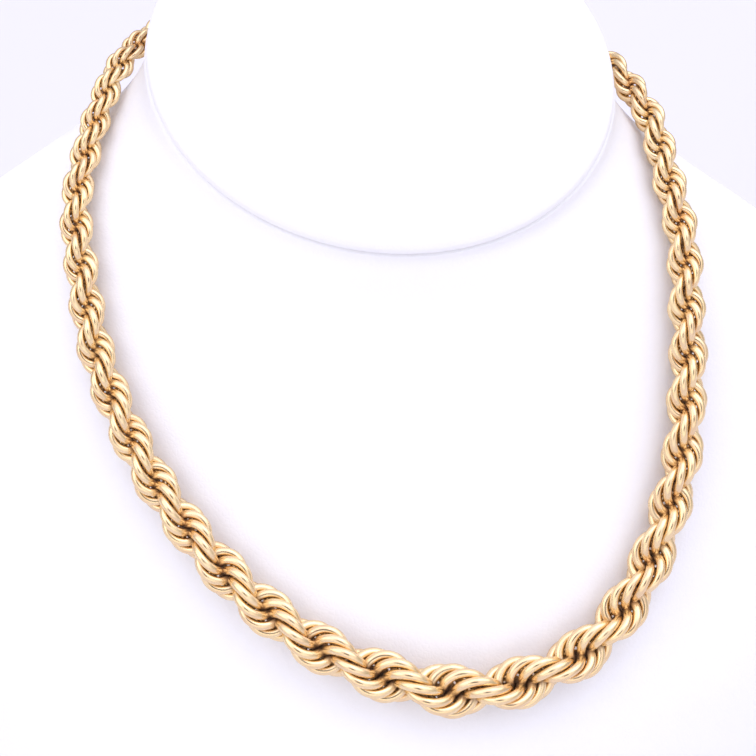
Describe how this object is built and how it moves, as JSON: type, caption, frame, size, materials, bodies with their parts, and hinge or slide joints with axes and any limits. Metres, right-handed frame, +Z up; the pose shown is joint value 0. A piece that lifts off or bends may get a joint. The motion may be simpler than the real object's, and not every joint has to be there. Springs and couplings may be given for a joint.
{
  "type": "rope chain on neck bust",
  "caption": "Graduated rope chain of twisted open links in polished yellow gold, lying as a closed loop on a plain white leatherette neck bust with an oval neck panel.",
  "frame": {"origin": "on the bust's flat base, on the axis of the neck", "axes": "+Z up, -Y to the front of the bust, +X to the right as seen from the front"},
  "size_m": [0.2112, 0.1382, 0.1859],
  "materials": {
    "gold": "polished yellow gold",
    "leatherette": "white leatherette, satin"
  },
  "bodies": {
    "root": {"bust_body": "leatherette", "neck_panel": "leatherette", "rope_chain": "gold", "clasp": "gold"}
  },
  "joints": []
}
